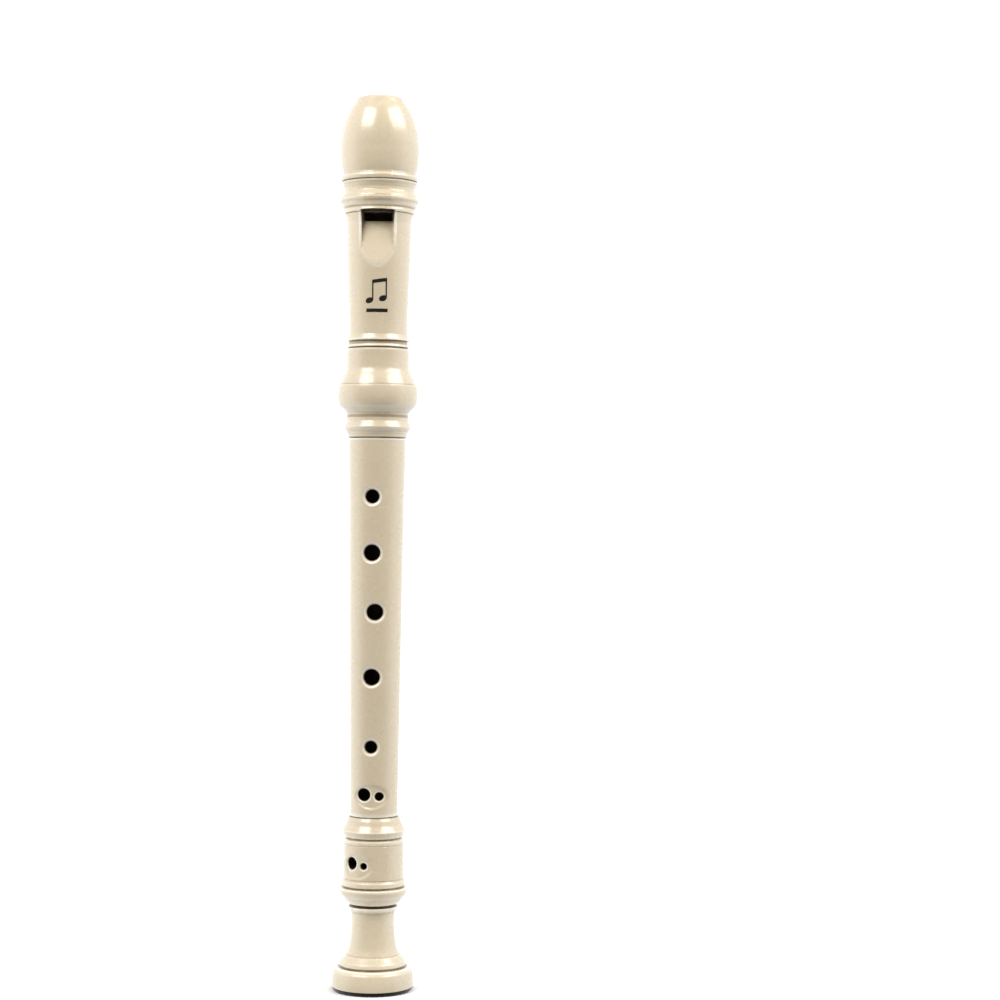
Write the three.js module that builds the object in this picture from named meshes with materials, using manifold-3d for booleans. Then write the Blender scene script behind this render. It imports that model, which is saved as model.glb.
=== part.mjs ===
// Soprano recorder in three joints, standing on the end of its foot.
// Millimetres, +Z up. The origin is the centre of the foot's end face.
// The window and the finger holes face -Y, and the thumb hole faces +Y.
import * as THREE from 'three';
import { mergeVertices } from 'three/addons/utils/BufferGeometryUtils.js';
import Module from 'manifold-3d';

const wasm = await Module();
wasm.setup();

// Heights of the tip and of the seams between the pieces
const TIP = 330;
const CAP_SEAM = 298.8;
const HEAD_SEAM = 204.3;
const FOOT_SEAM = 64.5;
const SEAM_GAP = 0.2;

// Bore, tenons and sockets
const HEAD_BORE = 6.7;
const MIDDLE_BORE_TOP = 6.5;
const MIDDLE_BORE_END = 5.3;
const FOOT_BORE = 5.2;
const UPPER_TENON = { radius: 8.5, length: 21.3, groove: 0.3 };
const LOWER_TENON = { radius: 7.0, length: 12.5 };
const FIT = 0.15;
const SOCKET_SPARE = 0.7;

// Windway, window and labium
const BLOCK_END = 287.3;
const BLOCK_RADIUS = 6.6;
const WINDWAY_HALF = 5.2;
const ROOF = 7.7;
const FLOOR = 6.5;
const EDGE_HEIGHT = 283.8;
const EDGE_DEPTH = 7.1;
const EDGE_UNDERSIDE = 6.6;
const UNDERCUT_END = 276;
const RAMP_END = 254;
const OUTSIDE = 18;
const RAMP_SLOPE = 0.29;
const DRAFT = 0.245;
const TOP_DRAFT = 0.1;

// Beak: how far its front keeps out past the turned shape, and the scoop behind the tip
const FRONT_KEEP = 1.4;
const FRONT_KEEP_FROM = 311;
const SCOOP = { y: 23, z: 332, radius: 27.4, sides: 96 };
const SPIGOT = { radius: 10.9, length: 3.6 };
const SPIGOT_GAP = 0.3;
const PILOT = 5.2;

// Finger holes: height, direction of drilling (degrees about the axis from the front, plus towards
// +X), distance of the hole's middle from the axis to the right of that direction, and diameter.
// The two holes of a double hole are drilled side by side in one direction.
const MIDDLE_HOLES = [
  { z: 182.6, turn: -6.8, side: 0, bore: 4.9 },
  { z: 161.9, turn: -6.8, side: 0, bore: 5.8 },
  { z: 140.1, turn: 1, side: 0, bore: 5.8 },
  { z: 116.2, turn: -5.6, side: 0, bore: 5.8 },
  { z: 90.5, turn: -6, side: 0, bore: 4.4 },
  { z: 72.9, turn: -4.75, side: -2.65, bore: 4.6 },
  { z: 72.3, turn: -4.75, side: 2.9, bore: 3.0 },
  { z: 190, turn: 180, side: 0, bore: 5.6 },
];
const FOOT_HOLES = [
  { z: 47.6, turn: -32.1, side: -2.55, bore: 4.4 },
  { z: 46.9, turn: -32.1, side: 2.6, bore: 2.3 },
];
const RIM = 0.8;
const DRILL_START = 4;
const DRILL_END = 2;

// The middle joint's tapering outside and the radius of the foot around its holes
const MIDDLE_TUBE = [
  [8.8, FOOT_SEAM], [8.85, 70], [9.28, 107], [9.7, 144], [10.05, 181], [10.4, 195],
  [10.5, HEAD_SEAM - SEAM_GAP],
];
const FOOT_SLEEVE = 11.1;

const SIDES = 40;
const HOLE_SIDES = 16;
const MERGE = 1e-4;
const RAD = Math.PI / 180;

const ivory = () => new THREE.MeshStandardMaterial({ color: 0xd9ccb0, roughness: 0.32, metalness: 0 });

function solidOf(geometry) {
  const bare = geometry.clone();
  bare.deleteAttribute('normal');
  bare.deleteAttribute('uv');
  const merged = mergeVertices(bare, MERGE);
  return new wasm.Manifold(new wasm.Mesh({
    numProp: 3,
    vertProperties: new Float32Array(merged.attributes.position.array),
    triVerts: new Uint32Array(merged.index.array),
  }));
}

function meshOf(name, solid) {
  const { vertProperties, triVerts } = solid.getMesh();
  const geometry = new THREE.BufferGeometry();
  geometry.setAttribute('position', new THREE.BufferAttribute(vertProperties, 3));
  geometry.setIndex(new THREE.BufferAttribute(triVerts, 1));
  geometry.computeVertexNormals();
  const mesh = new THREE.Mesh(geometry, ivory());
  mesh.name = name;
  return mesh;
}

// A turned solid from a closed outline of [radius, height] pairs, counter-clockwise
function turned(outline) {
  const closed = [...outline, outline[0]];
  const geometry = new THREE.LatheGeometry(closed.map(([r, z]) => new THREE.Vector2(r, z)), SIDES);
  return geometry.rotateX(Math.PI / 2);
}

// A round bar along Z
function rod(radius, from, to) {
  const geometry = new THREE.CylinderGeometry(radius, radius, to - from, SIDES);
  return solidOf(geometry.rotateX(Math.PI / 2).translate(0, 0, (from + to) / 2));
}

// A six-sided solid symmetric about the YZ plane. Each corner is [half-width, y, z]:
// the back's low and high corner, then the front's low and high corner.
function wedge(backLow, backHigh, frontLow, frontHigh) {
  const geometry = new THREE.BoxGeometry(2, 2, 2);
  const place = geometry.attributes.position;
  for (let i = 0; i < place.count; i += 1) {
    const back = place.getY(i) > 0;
    const high = place.getZ(i) > 0;
    const backCorner = high ? backHigh : backLow;
    const frontCorner = high ? frontHigh : frontLow;
    const [half, y, z] = back ? backCorner : frontCorner;
    place.setXYZ(i, Math.sign(place.getX(i)) * half, y, z);
  }
  return solidOf(geometry);
}

// Radius of an outline of [radius, height] pairs at a height
function radiusAt(outline, z) {
  const above = outline.findIndex(([, height]) => height > z);
  const [lowRadius, low] = outline[above - 1];
  const [highRadius, high] = outline[above];
  return lowRadius + ((highRadius - lowRadius) * (z - low)) / (high - low);
}

// Round hole drilled from outside into the bore, with a 45 degree rim sunk into the surface
function hole({ z, turn, side, bore }, surface) {
  const lift = Math.sqrt(surface ** 2 - side ** 2);
  const start = lift + DRILL_START;
  const drill = new THREE.CylinderGeometry(bore / 2, bore / 2, start - DRILL_END, HOLE_SIDES);
  drill.translate(side, -(start + DRILL_END) / 2, 0);
  const cone = RIM + DRILL_START;
  const rim = new THREE.CylinderGeometry(bore / 2, bore / 2 + cone, cone, HOLE_SIDES);
  rim.translate(side, -(start - cone / 2), 0);
  const aim = (geometry) => solidOf(geometry.rotateZ(turn * RAD).translate(0, 0, z));
  return aim(drill).add(aim(rim));
}

// The concave cut behind the tip of the beak, a drum lying along X
function scoop() {
  const geometry = new THREE.CylinderGeometry(SCOOP.radius, SCOOP.radius, 2 * SCOOP.radius, SCOOP.sides);
  return solidOf(geometry.rotateZ(Math.PI / 2).translate(0, SCOOP.y, SCOOP.z));
}

// Room for the block with the windway above it
function blockRoom(from, to) {
  const channel = wedge(
    [WINDWAY_HALF, 0, from], [WINDWAY_HALF, 0, to],
    [WINDWAY_HALF, -ROOF, from], [WINDWAY_HALF, -ROOF, to],
  );
  return rod(HEAD_BORE + 0.05, from, to).add(channel);
}

// Half-width of the window and ramp at a depth from the axis
const cutHalf = (depth) => WINDWAY_HALF + (depth - EDGE_DEPTH) * DRAFT;

// The opening between the end of the block and the labium's edge, drafted outwards
function windowCut() {
  const top = BLOCK_END + (OUTSIDE - ROOF) * TOP_DRAFT;
  return wedge(
    [WINDWAY_HALF, 0, EDGE_HEIGHT], [WINDWAY_HALF, 0, BLOCK_END],
    [cutHalf(OUTSIDE), -OUTSIDE, EDGE_HEIGHT], [cutHalf(OUTSIDE), -OUTSIDE, top],
  );
}

// The flat slope that rises from the labium's edge to the outside of the tube
function rampCut() {
  const depth = EDGE_DEPTH + (EDGE_HEIGHT - RAMP_END) * RAMP_SLOPE;
  return wedge(
    [cutHalf(depth), -depth, RAMP_END], [WINDWAY_HALF, -EDGE_DEPTH, EDGE_HEIGHT],
    [cutHalf(OUTSIDE), -OUTSIDE, RAMP_END], [cutHalf(OUTSIDE), -OUTSIDE, EDGE_HEIGHT],
  );
}

function beakCap() {
  const bottom = CAP_SEAM + SEAM_GAP;
  const outer = [
    [13.9, bottom], [14.1, 299.4], [14.1, 300.6], [13.5, 301.4], [13.7, 302.9], [14.3, 305.6],
    [14.6, 308.7], [14.6, 312.4], [14.3, 315.6], [13.8, 318.3], [13, 321.2], [11.9, 324],
    [10.9, 326.1], [9.8, 328], [9.2, 329.2], [8.4, TIP],
  ];
  const geometry = turned([
    [PILOT, TIP], [PILOT, bottom - SPIGOT.length], [SPIGOT.radius, bottom - SPIGOT.length],
    [SPIGOT.radius, bottom], ...outer,
  ]);
  const place = geometry.attributes.position;
  for (let i = 0; i < place.count; i += 1) {
    const rise = Math.max(0, (place.getZ(i) - FRONT_KEEP_FROM) / (TIP - FRONT_KEEP_FROM));
    const radius = Math.hypot(place.getX(i), place.getY(i));
    place.setY(i, place.getY(i) * (1 + (FRONT_KEEP / radius) * rise));
  }
  const room = blockRoom(bottom - SPIGOT.length - 1, TIP + 1);
  return meshOf('beak_cap', solidOf(geometry).subtract(room).subtract(scoop()));
}

function windwayBlock() {
  const half = WINDWAY_HALF - FIT;
  const key = wedge([half, 0, BLOCK_END], [half, 0, TIP], [half, -FLOOR, BLOCK_END], [half, -FLOOR, TIP]);
  const below = BLOCK_END - 1;
  const above = TIP + 1;
  const front = wedge(
    [OUTSIDE, -FLOOR, below], [OUTSIDE, -FLOOR, above],
    [OUTSIDE, -OUTSIDE, below], [OUTSIDE, -OUTSIDE, above],
  );
  const body = rod(BLOCK_RADIUS, BLOCK_END, TIP).add(key).subtract(front);
  return meshOf('windway_block', body.subtract(scoop()));
}

function headTube() {
  const socket = UPPER_TENON.radius + FIT;
  const socketEnd = HEAD_SEAM + UPPER_TENON.length + SOCKET_SPARE;
  const recess = SPIGOT.radius + FIT;
  const recessEnd = CAP_SEAM - SPIGOT.length - SPIGOT_GAP;
  const skirt = [
    [10.7, HEAD_SEAM], [10.9, 205.6], [11.3, 206], [12.4, 208], [12.3, 208.8], [11.6, 210],
    [11.3, 212], [11.4, 213.3], [12.5, 214.5],
  ];
  const bulge = [
    [13.8, 215.7], [14.6, 217.6], [14.8, 220.5], [14.4, 223.6], [14, 223.9], [13.3, 225.9], [12.4, 227.9],
    [11.8, 229.5], [11.5, 232], [11.5, 236.8],
  ];
  const beads = [
    [11, 237.4], [11.6, 238], [11.4, 238.5], [10.9, 238.9], [10.9, 239.9], [11.6, 240.2], [11.4, 241],
    [10.8, 242.6],
  ];
  const tube = [[10.8, 249], [11.2, 261.2], [11.6, 272.3], [11.8, 283.2]];
  const collar = [
    [12.2, 285.3], [12.5, 286.9], [13.2, 287.4], [13.2, 288.2], [12.9, 288.9], [13.7, 289.8],
    [14.1, 291.1], [14.6, 291.9], [14.5, 292.6], [13.7, 294.2], [13.1, 295.5], [13.1, 296.6], [13.7, 298],
    [13.9, CAP_SEAM],
  ];
  const body = turned([
    ...skirt, ...bulge, ...beads, ...tube, ...collar,
    [recess, CAP_SEAM], [recess, recessEnd], [HEAD_BORE, recessEnd], [HEAD_BORE, socketEnd],
    [socket, socketEnd], [socket, HEAD_SEAM],
  ]);
  const undercut = wedge(
    [WINDWAY_HALF, 0, UNDERCUT_END], [WINDWAY_HALF, 0, BLOCK_END],
    [WINDWAY_HALF, -EDGE_UNDERSIDE, UNDERCUT_END], [WINDWAY_HALF, -EDGE_UNDERSIDE, BLOCK_END],
  );
  const cuts = [windowCut(), rampCut(), undercut, blockRoom(BLOCK_END, TIP)];
  return meshOf('head_tube', cuts.reduce((solid, cut) => solid.subtract(cut), solidOf(body)));
}

function middleJoint() {
  const top = HEAD_SEAM - SEAM_GAP;
  const tenonTop = HEAD_SEAM + UPPER_TENON.length;
  const tenonEnd = FOOT_SEAM - LOWER_TENON.length;
  const upper = [[UPPER_TENON.radius, top]];
  for (const z of [210, 216, 222]) {
    const deep = UPPER_TENON.radius - UPPER_TENON.groove;
    upper.push([UPPER_TENON.radius, z - 0.8], [deep, z - 0.4]);
    upper.push([deep, z + 0.4], [UPPER_TENON.radius, z + 0.8]);
  }
  upper.push([UPPER_TENON.radius, tenonTop - 0.6], [UPPER_TENON.radius - 0.4, tenonTop]);
  const body = turned([
    [MIDDLE_BORE_END, tenonEnd], [LOWER_TENON.radius - 0.4, tenonEnd],
    [LOWER_TENON.radius, tenonEnd + 0.6], [LOWER_TENON.radius, FOOT_SEAM],
    ...MIDDLE_TUBE, ...upper, [MIDDLE_BORE_TOP, tenonTop],
  ]);
  const drill = (solid, one) => solid.subtract(hole(one, radiusAt(MIDDLE_TUBE, one.z)));
  return meshOf('middle_joint', MIDDLE_HOLES.reduce(drill, solidOf(body)));
}

function footJoint() {
  const top = FOOT_SEAM - SEAM_GAP;
  const socket = LOWER_TENON.radius + FIT;
  const socketEnd = FOOT_SEAM - LOWER_TENON.length - SOCKET_SPARE;
  const bell = [
    [13.9, 0], [14.8, 0.4], [15.1, 1.3], [15.1, 4.8], [14.7, 7.3], [13.7, 8.5], [12.3, 9], [12.2, 9.8],
    [11.6, 11], [10.5, 12.5], [9.7, 13.2],
  ];
  const stem = [[8.9, 15.4], [8.35, 18.6], [8, 22.5], [7.9, 27.6], [8.5, 29.6], [9.45, 30.4], [9.4, 31]];
  const lowerRings = [
    [8.5, 31.2], [8.5, 32], [9.5, 32.2], [11.7, 34.9], [12.6, 36.3], [12.75, 37.5], [11.5, 38.5],
    [11.7, 39.4], [11.7, 40.9], [FOOT_SLEEVE, 41.6],
  ];
  const upperRings = [
    [FOOT_SLEEVE, 54], [11, 54.8], [11.1, 55.6], [10.5, 56.5], [11, 57.3], [11.7, 59.4], [10.6, 61],
    [9.2, top],
  ];
  const body = turned([
    ...bell, ...stem, ...lowerRings, ...upperRings,
    [socket, top], [socket, socketEnd], [FOOT_BORE, socketEnd], [FOOT_BORE, 9], [6.2, 1], [6.8, 0],
  ]);
  const drill = (solid, one) => solid.subtract(hole(one, FOOT_SLEEVE));
  return meshOf('foot_joint', FOOT_HOLES.reduce(drill, solidOf(body)));
}

const recorder = new THREE.Group();
recorder.add(beakCap(), windwayBlock(), headTube(), middleJoint(), footJoint());

export default recorder;
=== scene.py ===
"""The looks of a moulded soprano recorder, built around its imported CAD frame.

Every piece is a fine mesh in the place of its CAD node. Outlines are in millimetres,
and a mesh is scaled to metres when it is made. A turn is an angle about the bore from
the front (-Y), and a positive turn goes towards +X.
"""

import math

import bmesh
import bpy
import numpy as np
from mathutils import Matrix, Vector


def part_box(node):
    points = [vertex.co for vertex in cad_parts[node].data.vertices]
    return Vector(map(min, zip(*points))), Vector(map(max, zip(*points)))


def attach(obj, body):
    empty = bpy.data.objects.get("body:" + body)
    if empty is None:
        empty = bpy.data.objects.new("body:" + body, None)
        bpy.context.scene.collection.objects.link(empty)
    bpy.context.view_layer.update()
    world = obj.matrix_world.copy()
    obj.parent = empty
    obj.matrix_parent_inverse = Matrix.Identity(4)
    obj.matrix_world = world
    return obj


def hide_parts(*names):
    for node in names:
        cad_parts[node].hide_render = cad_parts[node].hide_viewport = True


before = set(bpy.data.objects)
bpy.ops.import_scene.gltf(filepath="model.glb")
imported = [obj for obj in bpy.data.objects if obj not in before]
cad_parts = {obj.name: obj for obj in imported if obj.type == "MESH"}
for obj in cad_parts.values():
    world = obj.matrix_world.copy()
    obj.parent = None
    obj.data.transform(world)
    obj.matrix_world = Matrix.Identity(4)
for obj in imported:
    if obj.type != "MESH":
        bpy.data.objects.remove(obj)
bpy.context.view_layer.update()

MM = 0.001

# Heights of the tip and of the seams, in millimetres, from the frame
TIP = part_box("beak_cap")[1].z / MM
HEAD_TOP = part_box("head_tube")[1].z / MM
HEAD_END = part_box("head_tube")[0].z / MM
TENON_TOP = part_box("middle_joint")[1].z / MM
TENON_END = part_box("middle_joint")[0].z / MM
FOOT_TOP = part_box("foot_joint")[1].z / MM
BLOCK_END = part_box("windway_block")[0].z / MM
SEAM = 0.2
SOCKET_SPARE = 0.7

# Bores, tenons and the room for the block
HEAD_BORE = 6.7
MIDDLE_BORE = (5.3, 6.5)
FOOT_BORE = 5.2
UPPER_TENON = 8.5
LOWER_TENON = 7.0
FIT = 0.15
BLOCK_RADIUS = 6.6
BLOCK_GAP = 0.07
WINDWAY_HALF = 5.2
ROOF = 7.7
FLOOR = 6.5

# Window and ramp
EDGE_HEIGHT = 283.8
EDGE_DEPTH = 7.1
EDGE_UNDERSIDE = 6.65
UNDERCUT_END = 276.0
RAMP_SLOPE = 0.29
DRAFT = 0.245
TOP_DRAFT = 0.1
RAMP_ROUNDING = 0.2
WALL_ROUNDING = 1.3

# Outlines are (radius, height, fillet radius), from the bottom up. A soft corner is rounded off
# as far as the middles of the lines beside it, so that a row of them is one smooth curve. A corner
# with no fillet radius is sharp.
SOFT = 999
HEAD_OUTLINE = [
    (10.65, HEAD_END), (10.8, HEAD_END + 0.15, 0.1), (10.95, 205.6, 0.2), (11.2, 205.9, 0.1),
    (11.35, 206.5, 0.1), (12.1, 207.4, 0.2), (12.45, 208.2, 0.15), (12.2, 208.9, 0.3),
    (11.45, 210.4, 0.8), (11.3, 212.6, 0.5), (11.45, 213.4, 0.2), (12.5, 214.6, SOFT),
    (14.1, 215.8, SOFT), (14.85, 218.4, SOFT), (14.85, 221, SOFT), (14.6, 222.9, 0.8),
    (14.42, 223.7, 0.12), (14.0, 223.8, 0.04), (13.95, 224.05, 0.1), (12.9, 226.9, SOFT),
    (11.6, 229.3, SOFT), (11.45, 234, SOFT), (11.5, 236.6, 0.25), (11.4, 237.1, 0.15),
    (10.95, 237.25, 0.1), (10.95, 237.55, 0.1), (11.5, 237.7, 0.12), (11.62, 238.05, 0.25),
    (11.45, 238.45, 0.15), (11.0, 238.7, 0.2), (10.85, 239.7, 0.2), (10.9, 240.0, 0.05),
    (11.6, 240.15, 0.1), (11.55, 240.7, 0.3),
    (10.9, 242.3, 1.5), (10.7, 247, SOFT), (11.5, 267, SOFT), (11.8, 279, SOFT), (11.85, 283.4, 2),
    (12.2, 285.4, 2), (12.5, 286.75, 0.15), (12.3, 287.05, 0.08), (13.0, 287.2, 0.15), (13.3, 287.75, 0.3),
    (13.15, 288.5, 0.2), (12.9, 288.95, 0.12), (13.7, 289.7, 0.2), (14.05, 291.0, 0.5),
    (14.5, 291.6, 0.12), (14.65, 292.3, 0.15), (14.2, 292.8, 0.06), (14.1, 293.3, 0.15),
    (13.2, 294.9, 1.2), (13.1, 296.2, 1.5), (13.5, 297.4, 1), (13.95, 298.2, 0.3),
    (13.95, HEAD_TOP - 0.12, 0.05), (13.8, HEAD_TOP),
]
CAP_OUTLINE = [
    (13.85, HEAD_TOP + SEAM), (14.05, HEAD_TOP + SEAM + 0.2, 0.15), (14.2, 300.2, 0.6),
    (14.0, 300.9, 0.25), (13.55, 301.25, 0.12), (13.45, 301.9, 0.3), (14.15, 304.4, SOFT),
    (14.6, 308.5, SOFT), (14.6, 312.5, SOFT), (14.1, 317, SOFT), (13.1, 321.2, SOFT),
    (11.5, 325.3, SOFT), (10.0, 327.6, SOFT), (8.8, TIP, 0),
]
MIDDLE_OUTLINE = [
    (8.75, 64.5), (8.85, 64.6, 0.05), (8.85, 70, 30), (9.28, 107, 90), (9.7, 144, 90),
    (10.05, 181, 90), (10.42, 195, 30), (10.5, 203, 10), (10.55, HEAD_END - SEAM - 0.1, 0.05),
    (10.45, HEAD_END - SEAM),
]
FOOT_OUTLINE = [
    (13.9, 0, 0), (14.6, 0.1, 0.15), (15.12, 1.15, 0.5), (15.12, 4.7, SOFT), (14.65, 7.4, 1.8),
    (13.5, 8.55, 0.4), (12.1, 8.75, 0.1), (12.0, 9.05, 0.1), (12.35, 9.5, 0.4), (12.1, 10.7, 0.8),
    (11.0, 12, 0.6), (10.3, 12.9, 0.2), (9.8, 13.15, 0.1), (9.6, 13.7, 0.4), (8.85, 15.6, SOFT),
    (8.3, 18.9, SOFT), (7.95, 23, SOFT), (7.85, 27, SOFT), (8.3, 29.2, 0.8), (9.25, 30, 0.3),
    (9.5, 30.5, 0.3), (9.35, 31.0, 0.12), (8.5, 31.15, 0.1), (8.5, 32.05, 0.1), (9.45, 32.2, 0.12),
    (9.8, 32.6, 0.5),
    (10.9, 33.9, 0.5), (11.35, 34.5, 0.1), (11.7, 34.75, 0.1), (12.35, 36, 0.8), (12.55, 36.6, 0.1),
    (12.78, 37.1, 0.2), (12.7, 37.9, 0.2), (11.3, 38.25, 0.12), (11.3, 38.6, 0.12), (11.75, 38.95, 0.25),
    (11.8, 40.4, 0.4), (11.25, 41.1, 0.2), (11.0, 41.35, 0.08), (11.15, 41.65, 0.1),
    (11.08, 54, 0.1), (10.9, 54.2, 0.06), (11.15, 54.5, 0.15), (11.15, 55.7, 0.25), (10.45, 56.15, 0.12),
    (10.45, 56.6, 0.12), (11.0, 57, 0.2), (11.35, 58.4, 0.6), (11.75, 59.2, 0.12), (11.4, 59.75, 0.3),
    (10.6, 61.1, 0.3), (10.4, 61.5, 0.06), (9.85, 63.1, 2), (9.3, FOOT_TOP - 0.1, 0.05),
    (9.15, FOOT_TOP),
]

# Round holes. turn is the direction they are drilled from, and side how far to the right of
# the axis their middle lies, seen from that direction. patch is the turn from there to the left
# and the right edge of the patch of wall that each one is set in.
AROUND = (-42, 42)
MIDDLE_HOLES = [
    {"z": 182.6, "turn": -6.8, "side": 0, "bore": 4.9, "rim": 1.35, "patch": AROUND},
    {"z": 161.9, "turn": -6.8, "side": 0, "bore": 5.8, "rim": 1.3, "patch": AROUND},
    {"z": 140.1, "turn": 1, "side": 0, "bore": 5.8, "rim": 1.3, "patch": AROUND},
    {"z": 116.2, "turn": -5.6, "side": 0, "bore": 5.8, "rim": 1.3, "patch": AROUND},
    {"z": 90.5, "turn": -6, "side": 0, "bore": 4.4, "rim": 1.35, "patch": AROUND},
    {"z": 72.9, "turn": -4.75, "side": -2.65, "bore": 4.6, "rim": 0.75, "patch": (-75, 3)},
    {"z": 72.3, "turn": -4.75, "side": 2.9, "bore": 3.0, "rim": 0.75, "patch": (3, 64)},
    {"z": 190, "turn": 180, "side": 0, "bore": 5.6, "rim": 1.2, "patch": AROUND},
]
FOOT_HOLES = [
    {"z": 47.6, "turn": -32.1, "side": -2.55, "bore": 4.4, "rim": 0.75, "patch": (-80, 3)},
    {"z": 46.9, "turn": -32.1, "side": 2.6, "bore": 2.3, "rim": 0.8, "patch": (3, 62)},
]
# Dished finger rests round the double holes: centre, half sizes and depth
MIDDLE_DISH = {"z": 72.1, "turn": -4.75, "wide": 6.6, "tall": 4.7, "deep": 0.42}
FOOT_DISH = {"z": 46.6, "turn": -32.1, "wide": 6.2, "tall": 4.9, "deep": 0.5}
# Share of a dish's half size that its sloping edge takes
DISH_EDGE = 0.2

# A rim starts at this slope, and is this deep for its width
RIM_START = 28
RIM_DEPTH = 0.75
RIM_STEPS = 7
# Places of the loops from the edge of a hole's patch to its rim, down the bore, and out to the
# patch's edge on the inside, each as a share of the way
PATCH_STEPS = (0.3, 0.55, 0.8, 1)
BORE_STEPS = (0.15, 0.5, 1)
INNER_STEPS = (0.35, 0.7)

# Painted shade as dark lines in the seams, the deepest grooves and at the foot's bottom edge: height, half
# width and darkness
DARK_LINES = [
    (0, 1.5, 0.98), (8.9, 0.25, 0.5), (31.6, 0.5, 0.85), (38.4, 0.22, 0.4), (56.4, 0.27, 0.35),
    (FOOT_TOP, 0.25, 0.4), (HEAD_END, 0.32, 0.6), (212.2, 0.5, 0.5), (223.85, 0.14, 0.45),
    (237.4, 0.25, 0.5), (239.5, 0.6, 0.5), (HEAD_TOP + SEAM / 2, 0.3, 0.4),
]
# Width over which a dark line fades out, and how far past it the rows stay close
LINE_FADE = 0.12
LINE_MARGIN = 0.8
# A point that stands out of its neighbours by this much gets the full painted highlight, and one sunk in by
# it the full painted shade
FULL_RELIEF = 0.3
# Painted shade inside a bore: its darkness, and how far in from its ends it starts and is full
BORE_DARKNESS = 0.8
BORE_DARK_FROM = 3
BORE_DARK_AT = 12

# Longest stretches along an outline: round holes, at dark lines, on the rest of the outside, inside
ROW = 0.4
LINE_ROW = 0.15
LONG_ROW = 2.5
INNER_ROW = 3
# Room between a hole's rim and the edge of its patch, how near the other hole of a pair is, and
# how far from a dish's middle the rows stay close
PATCH_MARGIN = 0.6
PAIR_REACH = 2
DISH_REACH = 6

# A length that counts as none, the most of a line that a fillet takes, the bend between two points
# of a curve, and the angle from which an edge is shaded sharp
TINY = 1e-3
NEARLY_HALF = 0.499
BEND_STEP = 0.2
CREASE = math.radians(38)


# ---------------------------------------------------------------- outlines

def rounded(outline):
    """The (radius, height) path of an outline, with each filleted corner as a curve."""
    corners = np.array([corner[:2] for corner in outline], float)
    fillets = [corner[2] if len(corner) == 3 else 0 for corner in outline]
    path = [corners[0]]
    for before, here, after, fillet in zip(corners, corners[1:], corners[2:], fillets[1:]):
        back, on = before - here, after - here
        back_length, on_length = np.hypot(*back), np.hypot(*on)
        straight = np.clip(-np.dot(back, on) / (back_length * on_length), -1, 1)
        bend = math.acos(straight)
        cut = min(fillet * math.tan(bend / 2), NEARLY_HALF * back_length, NEARLY_HALF * on_length)
        if cut < TINY:
            path.append(here)
            continue
        start, end = here + back / back_length * cut, here + on / on_length * cut
        for t in np.linspace(0, 1, max(3, math.ceil(bend / BEND_STEP)) + 1):
            path.append((1 - t) ** 2 * start + 2 * t * (1 - t) * here + t ** 2 * end)
    path.append(corners[-1])
    return np.array(path)


def refined(path, step, low=-math.inf, high=math.inf):
    """The path with no stretch longer than step between two heights."""
    fine = [path[0]]
    for a, b in zip(path, path[1:]):
        inside = low <= (a[1] + b[1]) / 2 <= high
        count = max(1, math.ceil(np.hypot(*(b - a)) / step)) if inside else 1
        fine.extend(a + (b - a) * i / count for i in range(1, count + 1))
    return np.array(fine)


def radius_at(path, z):
    """Radius of an upward path at heights z."""
    return np.interp(z, path[:, 1], path[:, 0])


def with_rows(path, rows):
    """An upward path that has exactly these rows between the first and the last of them."""
    low, high = rows[0] - TINY, rows[-1] + TINY
    below, above = path[path[:, 1] < low], path[path[:, 1] > high]
    return np.vstack([below, np.column_stack([radius_at(path, rows), rows]), above])


def relief(path, reach=0.7):
    """How far each point of an upward path stands out of its neighbours, from -1 to 1."""
    around = np.linspace(-reach, reach, 15)
    near = radius_at(path, path[:, 1][:, None] + around[None, :])
    return np.clip((path[:, 0] - near.mean(1)) / FULL_RELIEF, -1, 1)


def dark_lines(z, low=0, high=math.inf):
    """Painted shade at heights z, in the seams and the deepest grooves, where a piece is out in the open."""
    lines = [dark * np.clip((half - np.abs(z - height)) / LINE_FADE + 0.5, 0, 1)
             for height, half, dark in DARK_LINES]
    return np.where((z >= low) & (z <= high), np.max(lines, axis=0), 0)


def fine_at_lines(path):
    """The path with close rows wherever a dark line is."""
    for height, half, _ in DARK_LINES:
        path = refined(path, LINE_ROW, height - half - LINE_MARGIN, height + half + LINE_MARGIN)
    return path


# ---------------------------------------------------------------- meshes

def direction(turn):
    """Unit vectors out of the front and to the right, for a turn in degrees."""
    a = math.radians(turn)
    return np.array([math.sin(a), -math.cos(a)]), np.array([math.cos(a), math.sin(a)])


def on_circle(radius, turns, z):
    """Points at radius and height z for turns in radians."""
    radius, turns, z = np.broadcast_arrays(radius, turns, z)
    return np.stack([radius * np.sin(turns), -radius * np.cos(turns), z], -1)


def make_object(name, points, faces, body, material, marks=None):
    """A smooth mesh object in metres, riding on a body. marks holds values for its material."""
    mesh = bpy.data.meshes.new(name)
    mesh.from_pydata((np.asarray(points) * MM).tolist(), [], faces)
    mesh.validate()
    for key, values in (marks or {}).items():
        attribute = mesh.attributes.new(key, "FLOAT", "POINT")
        attribute.data.foreach_set("value", np.asarray(values, np.float32))
    mesh.shade_smooth()
    mesh.set_sharp_from_angle(angle=CREASE)
    piece = bpy.data.objects.new(name, mesh)
    bpy.context.scene.collection.objects.link(piece)
    mesh.materials.append(material)
    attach(piece, body)
    return piece


def even_normals(piece):
    """Flat stretches keep their flat shading beside small fillets."""
    modifier = piece.modifiers.new("even_normals", "WEIGHTED_NORMAL")
    modifier.mode = "FACE_AREA"
    modifier.keep_sharp = True


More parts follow.
